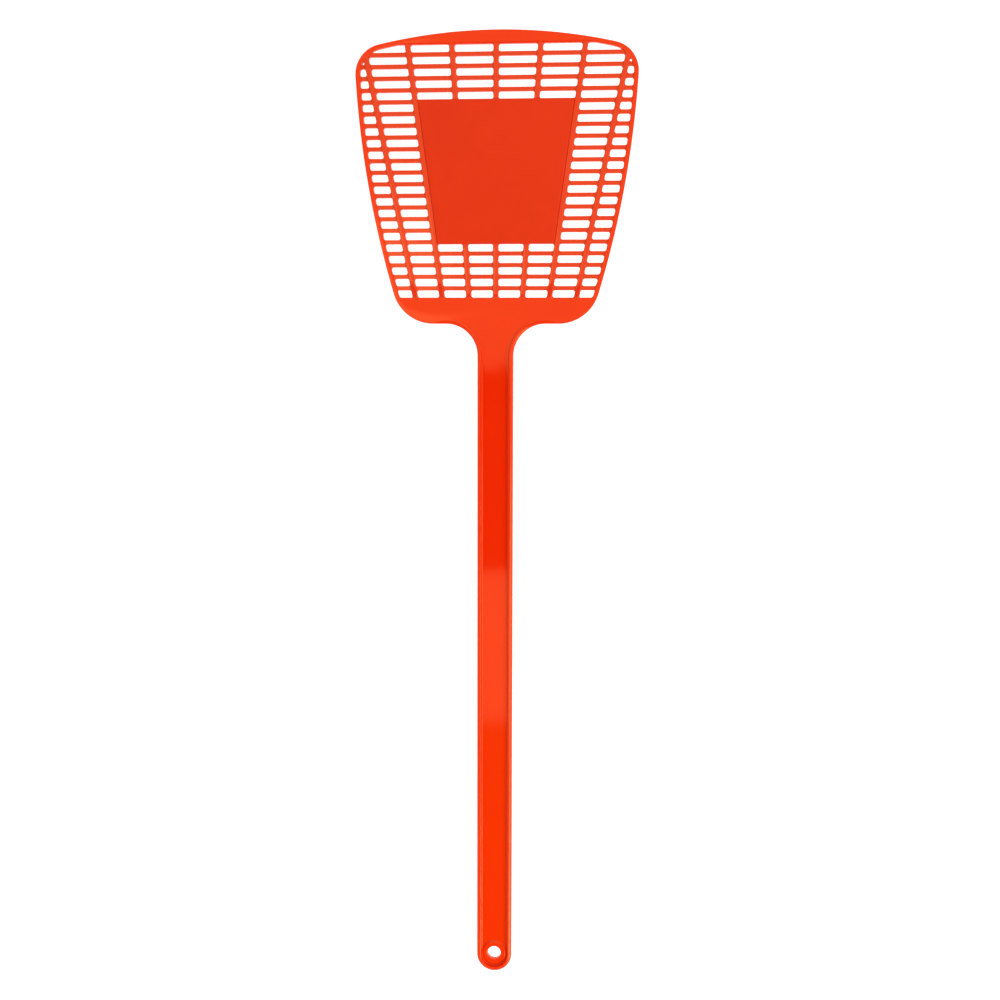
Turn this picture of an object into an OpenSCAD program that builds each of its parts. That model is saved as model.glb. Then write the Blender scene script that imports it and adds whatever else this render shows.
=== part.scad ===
// Fly swatter moulded in one shot from flexible plastic: a ribbed strap handle with a hanging eye,
// a springy neck, and a trapezoid head with a slotted lattice round a solid swatting panel.
//
// The swatter lies on its flat back. The origin is the centre of the hanging hole on the back face,
// +Y runs along the handle to the head, +Z out of the ribbed face. Every module below is one moulded
// feature and meets its neighbours face to face.

/* [Overall] */
// Length from the end of the handle to the top of the head
total_l = 400; // [340:1:480]
// Greatest width of the head
head_w = 116.5; // [96:0.5:140]
// Height of the head, from its lower edge to its top
head_l = 119.2; // [99:0.1:145]

/* [Plate and ribs] */
// Thickness of the head's border, top bar, webs and handle floor
plate_t = 2; // [1.6:0.1:3]
// Thickness of the lattice uprights
upright_t = 2.1; // [1.7:0.1:3]
// Thickness of the crossbars, which lie lower than the uprights
bar_t = 1.4; // [1:0.1:1.6]
// Thickness of the solid swatting panel
panel_t = 2.35; // [1.8:0.05:3]
// Height of the bevel round the panel's face
panel_bevel = 0.35; // [0.1:0.05:0.6]

/* [Head outline] */
// Radius of the crowned top edge
top_r = 225; // [180:5:300]
// Radius of the bowed sides
side_r = 390; // [320:5:460]
// Height of the side arcs' centres above the top of the head
side_rise = 4; // [0:0.5:10]
// Radius of the two upper corners
corner_r = 12.2; // [9:0.1:15]
// Radius of the two lower corners
lower_r = 17.2; // [13:0.1:21]
// Width of the border round the lattice
border_w = 1.9; // [1.4:0.1:2.6]
// Depth of the top bar, from the top of the head to the first slots
top_bar_h = 5.6; // [4.6:0.1:8]
// Depth of the solid web below the last slots
web_h = 10.8; // [8.6:0.1:14]

/* [Lattice] */
// Number of rows of slots
row_count = 22; // [20:1:24]
// First row that the panel fills
panel_first_row = 6; // [5:1:8]
// Last row that the panel fills
panel_last_row = 17; // [15:1:18]
// Width of each crossbar
bar_w = 1.75; // [1.3:0.05:2.2]
// Width of each upright
upright_w = 2.3; // [1.7:0.1:2.8]
// Distance from the outermost uprights' centres in to the head's widest point, at the top slots
edge_gap_top = 3.4; // [2.4:0.1:4]
// The same distance at the head's edge beside the bottom slots
edge_gap_bottom = 8.6; // [7:0.1:10.5]
// Radius of the slots' corners
slot_r = 0.8; // [0.4:0.1:1]

/* [Handle] */
// Width of the handle
handle_w = 15.1; // [13:0.1:18.2]
// Width of the raised rims along the handle
rim_w = 1.9; // [1.5:0.1:2.3]
// Height of the rims above the back face
rim_h = 3.6; // [3:0.1:5]
// Radius on the rims' top edges
rim_edge_r = 0.6; // [0.3:0.05:0.7]
// Radius of the fillets between handle and head
throat_r = 13.3; // [10:0.1:16]
// Straight length between the flexing neck and those fillets
throat_lead = 3; // [1:0.5:8]
// Length of the neck, the stretch that bends
neck_l = 40; // [30:1:60]

/* [Hanging eye] */
// Diameter of the hanging hole
hole_d = 5.6; // [4:0.1:6]
// Distance from the end of the handle to the centre of the hole
hole_inset = 8; // [7.6:0.1:11]
// Wall of the raised ring round the hole
eye_wall = 2.5; // [1.8:0.1:3.3]
// Height of that ring above the back face
eye_h = 2.7; // [2.4:0.1:4]
// Length of floor between the ring and the handle's long web
eye_floor = 0.8; // [0.4:0.1:3]

/* [Hidden] */

$fn = 96;
PLASTIC = [0.93, 0.21, 0.09];
FLOOR = [0.90, 0.17, 0.05];
LATTICE = [0.96, 0.27, 0.13];
PANEL = [0.90, 0.22, 0.10];

// Stations along the handle and the head
end_y = -hole_inset;
top_y = total_l - hole_inset;
head_y = top_y - head_l;
slots_top = top_y - top_bar_h;
slots_bottom = head_y + web_h;
end_c_y = end_y + handle_w / 2;
throat_y = head_y - throat_r;
neck_y1 = throat_y - throat_lead;
neck_y0 = neck_y1 - neck_l;

// Handle section
half_handle = handle_w / 2;
half_floor = half_handle - rim_w;
eye_r = hole_d / 2 + eye_wall;
eye_end_y = eye_r + eye_floor;

// Head outline: every corner arc is tangent to the arcs or the line beside it
top_cy = top_y - top_r;
side_cy = top_y + side_rise;
corner_cx = head_w / 2 - corner_r;
corner_cy = top_cy + sqrt(pow(top_r - corner_r, 2) - pow(corner_cx, 2));
side_cx = corner_cx - sqrt(pow(side_r - corner_r, 2) - pow(side_cy - corner_cy, 2));
lower_cy = head_y + lower_r;
lower_cx = side_cx + sqrt(pow(side_r - lower_r, 2) - pow(side_cy - lower_cy, 2));

// Lattice rows, counted from the top
slot_h = (slots_top - slots_bottom - (row_count - 1) * bar_w) / row_count;
row_pitch = slot_h + bar_w;
function row_top(k) = slots_top - (k - 1) * row_pitch;
function row_bottom(k) = row_top(k) - slot_h;
panel_top = row_bottom(panel_first_row - 1);
panel_bottom = row_top(panel_last_row + 1);

// Uprights fan out from the handle: number 4 is upright, 1 and 7 lean most
UPRIGHTS = 7;
mid_upright = (UPRIGHTS + 1) / 2;
pitch_top = (head_w / 2 - edge_gap_top) / (mid_upright - 1);
pitch_bottom = (half_width(slots_bottom, 0) - edge_gap_bottom) / (mid_upright - 1);
function pitch_at(y) =
    pitch_bottom + (pitch_top - pitch_bottom) * (y - slots_bottom) / (slots_top - slots_bottom);
// Centre line of an upright at height y
function upright_x(j, y) = (j - mid_upright) * pitch_at(y);
// One side of an upright. Walls 0 and UPRIGHTS + 1 are the border's inner edges.
function wall_x(j, y, side) =
    j == 0 ? -open_x(y) :
    j > UPRIGHTS ? open_x(y) :
    upright_x(j, y) + side * upright_w / 2;
// The border's inner edge, a slip too far out, because the lattice is cut to that edge afterwards
function open_x(y) = half_width(y, border_w) + SLIP;

// Half the head's width at height y, drawn in by inset
function half_width(y, inset) =
    y > corner_cy + (corner_r - inset) * upper_tip()[1][1] ? arc_x(top_r - inset, y - top_cy) :
    y > corner_cy ? corner_cx + arc_x(corner_r - inset, y - corner_cy) :
    y < lower_cy ? lower_cx + arc_x(lower_r - inset, y - lower_cy) :
    side_cx + arc_x(side_r - inset, y - side_cy);
function arc_x(r, dy) = sqrt(max(r * r - dy * dy, 0));

// Straight steps in each slot corner
FLARE_STEPS = 4;
// Points nearer than this are one
SAME = 0.0001;
// How far the lattice is drawn past the border's edge, and how far a cut runs past a face
SLIP = 0.03;
PAST = 5;

// ---- Outlines ----

// Outline of the head, drawn in by inset, with true arcs
module head_outline(inset = 0) {
    difference() {
        intersection() {
            translate([0, top_cy]) circle(r = top_r - inset, $fn = 360);
            translate([side_cx, side_cy]) circle(r = side_r - inset, $fn = 360);
            translate([-side_cx, side_cy]) circle(r = side_r - inset, $fn = 360);
            translate([-head_w, head_y + inset]) square([2 * head_w, head_l + PAST]);
        }
        for (s = [-1, 1]) {
            corner_cut(s, corner_cx, corner_cy, corner_r - inset, upper_tip());
            corner_cut(s, lower_cx, lower_cy, lower_r - inset, lower_tip());
        }
    }
}

// Directions in which the corner arcs meet the arcs or the line beside them
function side_dir(cx, cy) = unit([cx - side_cx, cy - side_cy]);
function unit(v) = v / norm(v);
function upper_tip() = [side_dir(corner_cx, corner_cy), unit([corner_cx, corner_cy - top_cy])];
function lower_tip() = [side_dir(lower_cx, lower_cy), [0, -1]];

// The scrap outside a corner arc, between the two directions in which the arc ends
module corner_cut(s, cx, cy, r, dirs) {
    mirror([s < 0 ? 1 : 0, 0]) difference() {
        translate([cx, cy])
            polygon([[0, 0], 2 * r * dirs[0], 3 * r * unit(dirs[0] + dirs[1]), 2 * r * dirs[1]]);
        translate([cx, cy]) circle(r = r);
    }
}

// The open field inside the border, where the lattice lies
module lattice_field() {
    intersection() {
        head_outline(border_w);
        translate([-head_w, slots_bottom]) square([2 * head_w, slots_top - slots_bottom]);
    }
}

// A stretch of the border between two heights, on one side
module border_part(side, y0, y1) {
    linear_extrude(plate_t) intersection() {
        difference() {
            head_outline();
            head_outline(border_w);
        }
        translate([side < 0 ? -head_w : 0, y0]) square([head_w, y1 - y0]);
    }
}

// ---- Lattice ----

// Edge of a crossbar from wall a to wall b, flaring into each wall with the slots' corner radius.
// dir is +1 for an upper edge and -1 for a lower one.
function edge_points(y, dir, a, b) = [
    for (j = [a : b], side = [-1, 1])
        if (flares(j, y, side, a, b))
            each side > 0 ? concat(foot(j, y, side), flare_points(j, y, dir, side))
                          : concat(flare_points(j, y, dir, side), foot(j, y, side))];
// Whether an edge from wall a to wall b meets this side of wall j
function flares(j, y, side, a, b) = !(j == a && side < 0) && !(j == b && side > 0) && !hidden(j, y);
// Whether upright j lies wholly past the border at height y
function hidden(j, y) =
    j > 0 && j <= UPRIGHTS && abs(upright_x(j, y)) - upright_w / 2 > open_x(y);
// Where an upright's side meets the edge; the border's side is cut later
function foot(j, y, side) = is_border(j) ? [] : [[wall_x(j, y, side), y]];
function is_border(j) = j == 0 || j > UPRIGHTS;
// The flare beside wall j, from left to right
function flare_points(j, y, dir, side) =
    let (
        r = flare_r(j, y, dir, side),
        arc = [for (i = [0 : FLARE_STEPS]) flare_point(j, y, dir, side, r, 90 * i / FLARE_STEPS)])
    side > 0 ? arc : reversed(arc);
// A narrow slot's corners take no more than half its width each
function flare_r(j, y, dir, side) =
    max(0, min(slot_r, slot_w(j, y, side) / 2, slot_w(j, y + dir * slot_r, side) / 2));
// Width of the slot beside wall j
function slot_w(j, y, side) =
    let (next = hidden(j + side, y) ? j + 2 * side : j + side)
    side * (wall_x(next, y, -side) - wall_x(j, y, side));
// Point of the quarter circle, from the wall (turn = 0) to the edge (turn = 90)
function flare_point(j, y, dir, side, r, turn) =
    let (yy = y + dir * r * (1 - sin(turn)))
    [wall_x(j, yy, side) + side * r * (1 - cos(turn)), yy];
function reversed(v) = [for (i = [len(v) - 1 : -1 : 0]) v[i]];
// The points without those that repeat the one before
function distinct(v) =
    [for (i = [0 : len(v) - 1]) if (norm(v[i] - v[(i + len(v) - 1) % len(v)]) > SAME) v[i]];

// Outline of a crossbar between two heights, from wall a to wall b, run on past the border
module bar_shape(y0, y1, a, b) {
    polygon(distinct(concat(
        run_on(y1, 1, a, 1), edge_points(y1, 1, a, b), run_on(y1, 1, b, -1),
        run_on(y0, -1, b, -1), reversed(edge_points(y0, -1, a, b)), run_on(y0, -1, a, 1))));
}
function run_on(y, dir, j, side) =
    is_border(j) ? [[-side * head_w, y + dir * flare_r(j, y, dir, side)]] : [];

// Fillets that round the slots' corners along one straight edge, from wall a to wall b
module edge_fillets(y, dir, a, b) {
    for (j = [a : b], side = [-1, 1])
        if (flares(j, y, side, a, b) && flare_r(j, y, dir, side) > SAME)
            linear_extrude(bar_t) intersection() {
                polygon(distinct(concat(flare_points(j, y, dir, side), corner(j, y, dir, side))));
                lattice_field();
            }
}
// The corner that a fillet fills, run on past the border
function corner(j, y, dir, side) =
    is_border(j) ?
        let (out = wall_x(j, y, side) - side * PAST, far = y + dir * flare_r(j, y, dir, side))
        side > 0 ? [[out, y], [out, far]] : [[out, far], [out, y]] :
    foot(j, y, side);

// Crossbar k lies below slot row k. Beside the panel it is two short bars.
module crossbar(k) {
    y1 = row_bottom(k);
    y0 = row_top(k + 1);
    color(LATTICE) linear_extrude(bar_t) intersection() {
        union() {
            if (beside_panel(k)) {
                bar_shape(y0, y1, 0, 2);
                bar_shape(y0, y1, UPRIGHTS - 1, UPRIGHTS + 1);
            } else {
                bar_shape(y0, y1, 0, UPRIGHTS + 1);
            }
        }
        lattice_field();
    }
}

// Upright j between two heights, notched over the crossbars that pass under it
module upright(j, y0, y1) {
    color(LATTICE) difference() {
        linear_extrude(upright_t) intersection() {
            polygon([
                [wall_x(j, y0, -1), y0], [wall_x(j, y0, 1), y0],
                [wall_x(j, y1, 1), y1], [wall_x(j, y1, -1), y1]]);
            lattice_field();
        }
        for (k = [1 : row_count - 1])
            if (row_top(k + 1) > y0 - SAME && row_bottom(k) < y1 + SAME && passes_under(k, j))
                translate([-head_w, row_top(k + 1), -PAST]) cube([2 * head_w, bar_w, bar_t + PAST]);
    }
}

// Whether crossbar k stands beside the panel, where uprights 2 and 6 end it
function beside_panel(k) = k >= panel_first_row - 1 && k <= panel_last_row;
function passes_under(k, j) = !(beside_panel(k) && (j == 2 || j == UPRIGHTS - 1));

// ---- Handle sections ----

// Section of a rim, upright on X = 0 to rim_w, with rounded top edges
module rim_section() {
    polygon(concat(
        [[0, 0], [rim_w, 0]],
        [for (a = [0 : 15 : 90])
            [rim_w - rim_edge_r * (1 - cos(a)), rim_h - rim_edge_r * (1 - sin(a))]],
        [for (a = [90 : 15 : 180])
            [rim_edge_r * (1 + cos(a)), rim_h - rim_edge_r * (1 - sin(a))]]));
}

// Straight rim along one side of the handle between two stations
module straight_rim(side, y0, y1) {
    mirror([side < 0 ? 1 : 0, 0]) translate([half_floor, y1, 0])
        rotate([90, 0, 0]) linear_extrude(y1 - y0) rim_section();
}

// Floor of the handle between two stations
module handle_floor(y0, y1) {
    translate([-half_floor, y0, 0]) cube([2 * half_floor, y1 - y0, plate_t]);
}

// ---- Moulded features ----

module hang_eye() {
    color(FLOOR) difference() {
        union() {
            intersection() {
                union() {
                    translate([0, end_c_y, 0]) cylinder(r = half_floor, h = plate_t);
                    translate([-half_floor, end_c_y, 0])
                        cube([2 * half_floor, eye_end_y - end_c_y, plate_t]);
                }
                translate([-handle_w, end_y, 0]) cube([2 * handle_w, eye_end_y - end_y, plate_t]);
            }
            intersection() {
                cylinder(r = eye_r, h = eye_h);
                end_room();
            }
        }
        translate([0, 0, -PAST]) cylinder(d = hole_d, h = eye_h + 2 * PAST);
    }
}

// Room inside the rims at the handle's end, which keeps the ring clear of them
module end_room() {
    translate([0, end_c_y, 0]) cylinder(r = half_floor, h = eye_h);
    translate([-half_floor, end_c_y, 0]) cube([2 * half_floor, handle_w, eye_h]);
}

module end_rim() {
    color(PLASTIC) translate([0, end_c_y, 0]) rotate([0, 0, 180])
        rotate_extrude(angle = 180) translate([half_floor, 0]) rim_section();
}

module handle_web() {
    color(FLOOR) handle_floor(eye_end_y, neck_y0);
}

module handle_rim_left() {
    color(PLASTIC) straight_rim(-1, end_c_y, neck_y0);
}

module handle_rim_right() {
    color(PLASTIC) straight_rim(1, end_c_y, neck_y0);
}

module neck_web() {
    color(FLOOR) handle_floor(neck_y0, neck_y1);
}

module neck_rim_left() {
    color(PLASTIC) straight_rim(-1, neck_y0, neck_y1);
}

module neck_rim_right() {
    color(PLASTIC) straight_rim(1, neck_y0, neck_y1);
}

// Plate between neck and head, with a fillet on each side and room for the rims that run up it
module throat_web() {
    color(FLOOR) difference() {
        translate([-half_handle - throat_r, neck_y1, 0])
            cube([handle_w + 2 * throat_r, head_y - neck_y1, plate_t]);
        for (s = [-1, 1]) {
            throat_curve(s) cylinder(r = throat_r + rim_w, h = 3 * PAST, center = true);
            translate([s > 0 ? half_floor : -half_handle - throat_r, neck_y1 - PAST, -PAST])
                cube([throat_r + rim_w, throat_lead + PAST, 3 * PAST]);
        }
    }
}

// Places a shape at the centre of the fillet on one side of the throat
module throat_curve(side) {
    translate([side * (half_handle + throat_r), throat_y, 0]) children();
}

// Rim that follows the throat's fillet and sinks into the plate as it reaches the head
module throat_rim(side) {
    color(PLASTIC) mirror([side < 0 ? 1 : 0, 0]) intersection() {
        union() {
            straight_rim(1, neck_y1, throat_y);
            throat_curve(1) rotate([0, 0, 90]) rotate_extrude(angle = 90)
                translate([throat_r, 0]) rim_section();
        }
        translate([0, neck_y1, 0]) rotate([90, 0, 90]) linear_extrude(handle_w + throat_r)
            polygon([
                [0, 0], [head_y - neck_y1, 0], [head_y - neck_y1, plate_t],
                [throat_lead, rim_h], [0, rim_h]]);
    }
}

module throat_rim_left() {
    throat_rim(-1);
}

module throat_rim_right() {
    throat_rim(1);
}

module lower_web() {
    color(FLOOR) {
        linear_extrude(plate_t) intersection() {
            head_outline();
            translate([-head_w, head_y]) square([2 * head_w, web_h]);
        }
        edge_fillets(slots_bottom, 1, 0, UPRIGHTS + 1);
    }
}

module border_left() {
    color(PLASTIC) border_part(-1, slots_bottom, corner_cy);
}

module border_right() {
    color(PLASTIC) border_part(1, slots_bottom, corner_cy);
}

module corner_left() {
    color(PLASTIC) border_part(-1, corner_cy, slots_top);
}

module corner_right() {
    color(PLASTIC) border_part(1, corner_cy, slots_top);
}

module top_bar() {
    color(PLASTIC) {
        linear_extrude(plate_t) intersection() {
            head_outline();
            translate([-head_w, slots_top]) square([2 * head_w, top_bar_h]);
        }
        edge_fillets(slots_top, -1, 1, UPRIGHTS);
    }
}

// Solid panel between uprights 2 and 6, with a bevel round its face
module panel() {
    color(PANEL) {
        linear_extrude(panel_t - panel_bevel) panel_shape(0);
        translate([0, 0, panel_t - panel_bevel]) linear_extrude(panel_bevel) panel_shape(panel_bevel);
        edge_fillets(panel_top, 1, 2, UPRIGHTS - 1);
        edge_fillets(panel_bottom, -1, 2, UPRIGHTS - 1);
    }
}

module panel_shape(inset) {
    polygon([
        [wall_x(2, panel_bottom, 1) + inset, panel_bottom + inset],
        [wall_x(UPRIGHTS - 1, panel_bottom, -1) - inset, panel_bottom + inset],
        [wall_x(UPRIGHTS - 1, panel_top, -1) - inset, panel_top - inset],
        [wall_x(2, panel_top, 1) + inset, panel_top - inset]]);
}

hang_eye();
end_rim();
handle_web();
handle_rim_left();
handle_rim_right();
neck_web();
neck_rim_left();
neck_rim_right();
throat_web();
throat_rim_left();
throat_rim_right();
lower_web();
border_left();
border_right();
corner_left();
corner_right();
top_bar();
panel();
upright(1, slots_bottom, slots_top);  // upright_1
upright(2, slots_bottom, slots_top);  // upright_2
upright(3, panel_top, slots_top);  // upright_3_upper
upright(4, panel_top, slots_top);  // upright_4_upper
upright(5, panel_top, slots_top);  // upright_5_upper
upright(3, slots_bottom, panel_bottom);  // upright_3_lower
upright(4, slots_bottom, panel_bottom);  // upright_4_lower
upright(5, slots_bottom, panel_bottom);  // upright_5_lower
upright(6, slots_bottom, slots_top);  // upright_6
upright(7, slots_bottom, slots_top);  // upright_7
for (k = [1 : row_count - 1])
    crossbar(k);
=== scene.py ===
"""Looks of a one-shot moulded fly swatter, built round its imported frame.

The strap, its hanging eye, the flexing neck, the head's frame, the slotted sheet, its ribs and the
swatting panel are made as soft-edged mouldings in orange-red plastic. All sizes are in metres and
come from the frame, or stand as named fields of the class that uses them.
"""

from __future__ import annotations

import logging
import math
from dataclasses import dataclass
from enum import Enum
from typing import Any, Callable, Iterable, Sequence

import bmesh
import bpy
from mathutils import Matrix, Vector
from mathutils.geometry import delaunay_2d_cdt

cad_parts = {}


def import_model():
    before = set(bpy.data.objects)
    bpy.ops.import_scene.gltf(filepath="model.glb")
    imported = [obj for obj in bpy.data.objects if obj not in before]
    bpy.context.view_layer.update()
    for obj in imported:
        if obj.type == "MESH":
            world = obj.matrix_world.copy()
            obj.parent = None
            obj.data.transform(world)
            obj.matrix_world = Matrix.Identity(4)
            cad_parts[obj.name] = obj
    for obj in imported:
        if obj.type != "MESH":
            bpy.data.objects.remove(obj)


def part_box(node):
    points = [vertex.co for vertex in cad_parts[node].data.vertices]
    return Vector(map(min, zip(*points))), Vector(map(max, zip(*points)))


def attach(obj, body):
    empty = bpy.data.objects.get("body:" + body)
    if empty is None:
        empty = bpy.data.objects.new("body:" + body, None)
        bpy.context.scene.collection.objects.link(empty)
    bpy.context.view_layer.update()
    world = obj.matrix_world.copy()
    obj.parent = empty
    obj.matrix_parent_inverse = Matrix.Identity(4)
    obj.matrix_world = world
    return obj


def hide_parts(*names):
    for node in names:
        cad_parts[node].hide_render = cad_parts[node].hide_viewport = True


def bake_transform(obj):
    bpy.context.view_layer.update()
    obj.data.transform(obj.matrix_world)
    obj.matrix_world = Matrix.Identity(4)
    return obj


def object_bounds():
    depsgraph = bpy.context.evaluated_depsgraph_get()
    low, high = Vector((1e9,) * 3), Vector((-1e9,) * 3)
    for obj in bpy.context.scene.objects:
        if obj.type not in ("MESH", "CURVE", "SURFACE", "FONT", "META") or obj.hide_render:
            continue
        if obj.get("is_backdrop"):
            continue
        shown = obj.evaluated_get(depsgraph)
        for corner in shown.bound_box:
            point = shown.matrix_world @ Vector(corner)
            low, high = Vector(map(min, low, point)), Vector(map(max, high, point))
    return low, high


LOG = logging.getLogger("swatter")
MM = 0.001
CURVE_STEPS = 5
FULL_TURN = 2 * math.pi
SAME_PLACE = 1e-7
MERGE_GAP = 1e-9
SHARP_ANGLE = 40.0

Point = tuple[float, float]
Station = tuple[float, float]
Colour = tuple[float, float, float]
Ring = list[bmesh.types.BMVert]
WHITE: Colour = (1.0, 1.0, 1.0)


class Body(Enum):
    """The rigid bodies that the pieces ride on."""

    HANDLE = "handle"
    HEAD = "head"


class Slot(Enum):
    """The material slots of the part's record."""

    HANDLE = "handle_plastic"
    BORDER = "border_plastic"
    LATTICE = "lattice_plastic"
    PANEL = "panel_plastic"


# ---- Node trees ----


class Wire:
    """An output socket that takes part in arithmetic on numbers."""

    def __init__(self, graph: Graph, socket: bpy.types.NodeSocket) -> None:
        """Keeps the socket and the graph that it belongs to."""
        self.graph = graph
        self.socket = socket

    def math(self, operation: str, *others: Wire | float) -> Wire:
        """Adds a Math node that starts with this socket.

        Args:
            operation: The Math node's operation.
            others: Its further inputs.

        Returns:
            The node's result.
        """
        return self.graph.math(operation, self, *others)

    def __add__(self, other: Wire | float) -> Wire:
        """This plus other."""
        return self.math("ADD", other)

    def __radd__(self, other: float) -> Wire:
        """Other plus this."""
        return self.math("ADD", other)

    def __sub__(self, other: Wire | float) -> Wire:
        """This minus other."""
        return self.math("SUBTRACT", other)

    def __rsub__(self, other: float) -> Wire:
        """Other minus this."""
        return self.graph.math("SUBTRACT", other, self)

    def __mul__(self, other: Wire | float) -> Wire:
        """This times other."""
        return self.math("MULTIPLY", other)

    def __rmul__(self, other: float) -> Wire:
        """Other times this."""
        return self.math("MULTIPLY", other)

    def between(self, low: float, high: float, soft: float) -> Wire:
        """A mask that is 1 from low to high and fades to 0 over soft on each side.

        Args:
            low: Where the band starts.
            high: Where it ends.
            soft: Width of the fade, centred on each end.

        Returns:
            The mask.
        """
        return self.step(low, soft) * (1 - self.step(high, soft))

    def step(self, edge: float, soft: float) -> Wire:
        """A mask that rises smoothly from 0 to 1 over soft, centred on edge.

        Args:
            edge: The middle of the rise.
            soft: Its width.

        Returns:
            The mask.
        """
        sockets = {"Value": self, "From Min": edge - soft / 2, "From Max": edge + soft / 2}
        node = self.graph.add("ShaderNodeMapRange", {"interpolation_type": "SMOOTHSTEP"}, sockets)
        return self.graph.out(node, "Result")


class Graph:
    """Adds nodes and links to one node tree."""

    def __init__(self, tree: bpy.types.NodeTree) -> None:
        """Empties the tree and keeps it."""
        self.tree = tree
        tree.nodes.clear()

    def add(
        self,
        kind: str,
        settings: dict[str, Any] | None = None,
        sockets: dict[str | int, Any] | None = None,
    ) -> bpy.types.Node:
        """Adds a node.

        Args:
            kind: The node's type.
            settings: Its properties, set first.
            sockets: Values or wires for its inputs, by name or number.

        Returns:
            The node.
        """
        node = self.tree.nodes.new(kind)
        for name, value in (settings or {}).items():
            setattr(node, name, value)
        for key, value in (sockets or {}).items():
            if isinstance(value, Wire):
                self.tree.links.new(value.socket, node.inputs[key])
            else:
                node.inputs[key].default_value = value
        return node

    def out(self, node: bpy.types.Node, key: str | int = 0) -> Wire:
        """An output of a node as a wire."""
        return Wire(self, node.outputs[key])

    def get(
        self,
        kind: str,
        settings: dict[str, Any] | None = None,
        sockets: dict[str | int, Any] | None = None,
        key: str | int = 0,
    ) -> Wire:
        """Adds a node and returns one of its outputs, chosen by key."""
        return self.out(self.add(kind, settings, sockets), key)

    def math(self, operation: str, *values: Wire | float) -> Wire:
        """Adds a Math node over the values."""
        return self.get("ShaderNodeMath", {"operation": operation}, dict(enumerate(values)))

    def mix(self, factor: Wire | float, first: Any, second: Any) -> Wire:
        """Mixes two colours.

        Args:
            factor: How much of the second colour.
            first: Colour or wire at factor 0.
            second: Colour or wire at factor 1.

        Returns:
            The mixed colour.
        """
        sockets = {0: factor, 6: first, 7: second}
        return self.get("ShaderNodeMix", {"data_type": "RGBA"}, sockets, 2)


class GeometryTree:
    """A Geometry Nodes tree with named number inputs, and what applies it to an outline."""

    def __init__(self, name: str, sizes: dict[str, float], material: bpy.types.Material) -> None:
        """Makes the tree's sockets.

        Args:
            name: The tree's name.
            sizes: Its number inputs and their values.
            material: What the last node sets.
        """
        self.tree = bpy.data.node_groups.new(name, "GeometryNodeTree")
        self.sizes = sizes
        self.material = material
        self.graph = Graph(self.tree)
        face = self.tree.interface
        face.new_socket("Geometry", in_out="INPUT", socket_type="NodeSocketGeometry")
        self.keys = {
            size: face.new_socket(size, in_out="INPUT", socket_type="NodeSocketFloat").identifier
            for size in sizes
        }
        face.new_socket("Geometry", in_out="OUTPUT", socket_type="NodeSocketGeometry")
        self.entry = self.graph.add("NodeGroupInput")

    def size(self, name: str) -> Wire:
        """A named input as a wire."""
        return self.graph.out(self.entry, name)

    def plan(self) -> Wire:
        """The incoming geometry."""
        return self.graph.out(self.entry, "Geometry")

    def close(self, geometry: Wire) -> None:
        """Ends the tree in Realize Instances and Set Material.

        Args:
            geometry: What the tree has made.
        """
        graph = self.graph
        solid = graph.get("GeometryNodeRealizeInstances", None, {"Geometry": geometry})
        sockets = {"Geometry": solid, "Material": self.material}
        dressed = graph.get("GeometryNodeSetMaterial", None, sockets)
        graph.add("NodeGroupOutput", None, {"Geometry": dressed})

    def apply_to(self, source: bpy.types.Object) -> bpy.types.Mesh:
        """Runs the tree over an object.

        Args:
            source: The object that carries the plan; it is removed afterwards.

        Returns:
            The result as a plain mesh.
        """
        modifier = source.modifiers.new(self.tree.name, "NODES")
        modifier.node_group = self.tree
        for size, value in self.sizes.items():
            modifier[self.keys[size]] = value
        return baked(source)


def baked(source: bpy.types.Object) -> bpy.types.Mesh:
    """The plain mesh that an object's modifiers make; the object is removed.

    Args:
        source: The object.

    Returns:
        The mesh.
    """
    evaluated = source.evaluated_get(bpy.context.evaluated_depsgraph_get())
    mesh = bpy.data.meshes.new_from_object(evaluated)
    source.modifiers.clear()
    bpy.data.objects.remove(source)
    return mesh


# ---- Finishes ----


def new_material(name: str) -> tuple[bpy.types.Material, Graph]:
    """An empty material and its node tree.

    Args:
        name: The material's name.

    Returns:
        The material and the graph over its nodes.
    """
    material = bpy.data.materials.new(name)
    material.use_nodes = True
    return material, Graph(material.node_tree)


@dataclass(frozen=True)
class Plastic:
    """Moulded plastic whose colour drifts between two shades."""

    name: str
    colour: Colour
    deep: Colour

    @staticmethod
    def noise(graph: Graph, scale: float, detail: float) -> Wire:
        """A noise over the object, from 0 to 1.

        Args:
            graph: The material's node tree.
            scale: Its waves in a metre.
            detail: Its octaves.

        Returns:
            The noise.
        """
        place = graph.get("ShaderNodeTexCoord", None, None, "Object")
        sockets = {"Vector": place, "Scale": scale, "Detail": detail}
        return graph.get("ShaderNodeTexNoise", None, sockets, "Fac")

    def finish(
        self,
        graph: Graph,
        share: Wire,
        roughness: Wire,
        bump: dict[str, Any],
        gloss: dict[str, Any],
    ) -> None:
        """Ends the tree in the plastic's shader.

        Args:
            graph: The material's node tree.
            share: How much of the lighter shade, held between 0 and 1.
            roughness: Roughness over the surface.
            bump: Values of the Bump node's sockets.
            gloss: The shader's even values.
        """
        held = share.math("MINIMUM", 1.0).math("MAXIMUM", 0.0)
        sockets = {
            "Base Color": graph.mix(held, (*self.deep, 1.0), (*self.colour, 1.0)),
            "Roughness": roughness,
            "Normal": graph.get("ShaderNodeBump", None, bump),
            **gloss,
        }
        shader = graph.get("ShaderNodeBsdfPrincipled", None, sockets)
        graph.add("ShaderNodeOutputMaterial", None, {"Surface": shader})


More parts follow.
